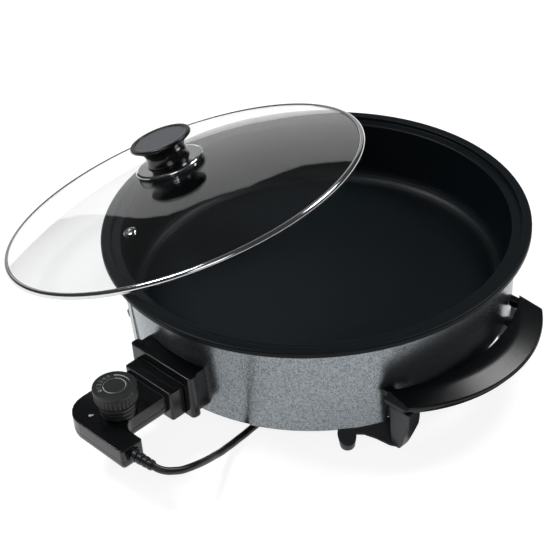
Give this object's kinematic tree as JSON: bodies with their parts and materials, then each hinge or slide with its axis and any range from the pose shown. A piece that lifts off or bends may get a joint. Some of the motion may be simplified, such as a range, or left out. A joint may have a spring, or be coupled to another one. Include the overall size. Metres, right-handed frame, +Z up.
{
  "type": "electric skillet",
  "caption": "Round electric skillet with a cast pan on legs, lift-off glass lid, two side grips and a plug-in heat control with a dial, cord and mains plug.",
  "frame": {"origin": "on the table plane, below the centre of the pan's round rim", "axes": "+Z up; +X from the pan's centre to the right-hand grip; -Y from the pan's centre to the plugged-in control"},
  "size_m": [0.5837, 0.61, 0.1839],
  "materials": {
    "pan_coating": "non-stick coated aluminium casting, grey hammered paint outside",
    "cast_aluminium": "as cast",
    "sheath_metal": "dull heat-tinted sheath",
    "plated_pins": "bright plated",
    "ceramic": "unglazed ceramic",
    "screw_steel": "zinc plated",
    "gloss_phenolic": "glossy heat-proof plastic",
    "satin_phenolic": "satin heat-proof plastic",
    "leg_phenolic": "satin heat-proof plastic",
    "clear_glass": "clear tempered glass",
    "band_steel": "polished stainless steel",
    "cap_grey": "satin grey cap",
    "dial_black": "matte, printed white marks",
    "cord_rubber": "satin flexible sheath",
    "tie_black": "satin"
  },
  "bodies": {
    "pan": {"pan_body": "pan_coating", "heating_element": "sheath_metal", "terminal_pins": "plated_pins", "ceramic_bushes": "ceramic", "sensor_well": "cast_aluminium", "socket_shroud": "gloss_phenolic", "shroud_screws": "screw_steel", "handle_grip_right": "satin_phenolic", "handle_grip_left": "satin_phenolic", "foot_front_right": "leg_phenolic", "foot_back_right": "leg_phenolic", "foot_front_left": "leg_phenolic", "foot_back_left": "leg_phenolic", "foot_screws": "screw_steel", "grip_screws": "screw_steel"},
    "lid": {"lid_glass": "clear_glass", "lid_band": "band_steel", "vent_grommet": "band_steel", "knob_guard": "gloss_phenolic", "knob_grip": "gloss_phenolic", "knob_cap": "cap_grey", "knob_screw": "screw_steel", "knob_washer": "screw_steel"},
    "control": {"control_top_cover": "gloss_phenolic", "control_bottom_cover": "gloss_phenolic", "plug_head": "gloss_phenolic", "sensor_rod": "screw_steel", "contact_sleeves": "plated_pins", "thermostat_block": "ceramic", "cover_screws": "screw_steel", "cord_gland": "cord_rubber", "strain_relief": "cord_rubber", "cord_tube": "cord_rubber", "cord_coil": "cord_rubber", "coil_tie": "tie_black", "mains_plug": "cord_rubber", "mains_plug_pins": "plated_pins"},
    "dial": {"dial_knob": "dial_black", "dial_face": "dial_black", "dial_shaft": "screw_steel"}
  },
  "joints": [
    {"name": "lid_lift", "type": "slide", "parent": "pan", "child": "lid", "axis": [0, 0, 1], "range_m": [0, 0.2]},
    {"name": "control_unplug", "type": "slide", "parent": "pan", "child": "control", "axis": [0, -1, 0], "range_m": [0, 0.07]},
    {"name": "dial_turn", "type": "hinge", "parent": "control", "child": "dial", "pos_m": [0.009, -0.27, 0.06], "axis": [0, 0, 1], "range_deg": [0, 270]}
  ]
}
